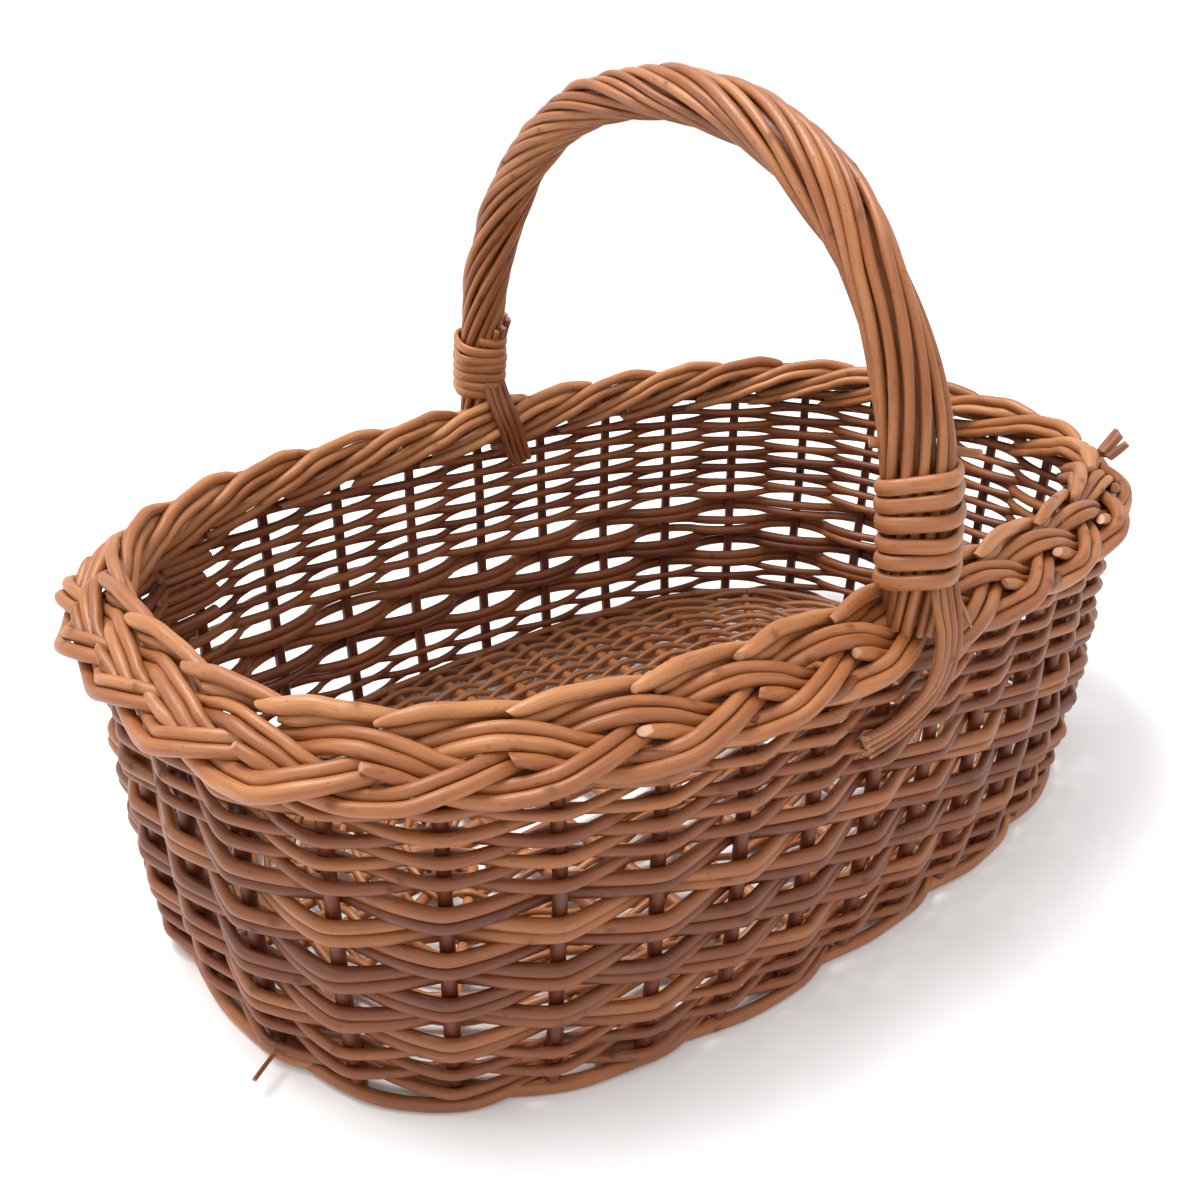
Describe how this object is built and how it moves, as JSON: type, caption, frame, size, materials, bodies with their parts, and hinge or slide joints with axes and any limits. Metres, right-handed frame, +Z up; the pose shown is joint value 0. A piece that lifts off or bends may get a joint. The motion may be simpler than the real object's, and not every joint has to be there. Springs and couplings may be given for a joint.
{
  "type": "egg collection basket",
  "caption": "Oval woven willow basket with plaited border, slatted-look woven base and a fixed roped arch handle for collecting eggs.",
  "frame": {"origin": "on the ground under the middle of the basket's plan outline, at the flat undersides of the foot border", "axes": "+X along the basket's length, -Y towards the front wall, +Z up; the handle arches over from -Y to +Y"},
  "size_m": [0.4319, 0.2816, 0.2827],
  "materials": {
    "willow_border": "buff willow, steamed and dried, bark off, satin with light scratches and small bud scars",
    "willow_weave": "thin buff willow rods, satin, reddish brown with colour that varies from rod to rod",
    "willow_stake": "thicker buff willow rods, satin, a little darker",
    "willow_handle": "buff willow rods polished by handling, satin",
    "willow_base": "buff willow sticks and fine rods, dull satin, darker"
  },
  "bodies": {
    "root": {"base_cross_sticks": "willow_base", "base_edge_rod": "willow_base", "base_fan_sticks_left": "willow_base", "base_fan_sticks_right": "willow_base", "base_long_sticks": "willow_base", "base_weave_1": "willow_base", "base_weave_2": "willow_base", "base_weave_3": "willow_base", "border_strand_1_rods_a": "willow_border", "border_strand_1_rods_b": "willow_border", "border_strand_2_rods_a": "willow_border", "border_strand_2_rods_b": "willow_border", "border_strand_3_rods_a": "willow_border", "border_strand_3_rods_b": "willow_border", "foot_border_back": "willow_border", "foot_border_front": "willow_border", "handle_bow": "willow_handle", "handle_rope_1": "willow_handle", "handle_rope_2": "willow_handle", "handle_rope_3": "willow_handle", "handle_rope_4": "willow_handle", "lashing_far": "willow_handle", "lashing_near": "willow_handle", "randing_back_1": "willow_weave", "randing_back_2": "willow_weave", "randing_back_3": "willow_weave", "randing_back_4": "willow_weave", "randing_back_5": "willow_weave", "randing_front_1": "willow_weave", "randing_front_2": "willow_weave", "randing_front_3": "willow_weave", "slew_back_1": "willow_weave", "slew_back_2": "willow_weave", "slew_back_3": "willow_weave", "slew_back_4": "willow_weave", "slew_front_1": "willow_weave", "slew_front_2": "willow_weave", "slew_front_3": "willow_weave", "slew_front_4": "willow_weave", "slew_front_5": "willow_weave", "slew_front_6": "willow_weave", "slew_front_7": "willow_weave", "stakes_back": "willow_stake", "stakes_front": "willow_stake", "stakes_left": "willow_stake", "stakes_right": "willow_stake", "tail_rods_far": "willow_handle", "tail_rods_near": "willow_handle", "upsett_wale_back": "willow_weave", "upsett_wale_front": "willow_weave"}
  },
  "joints": []
}
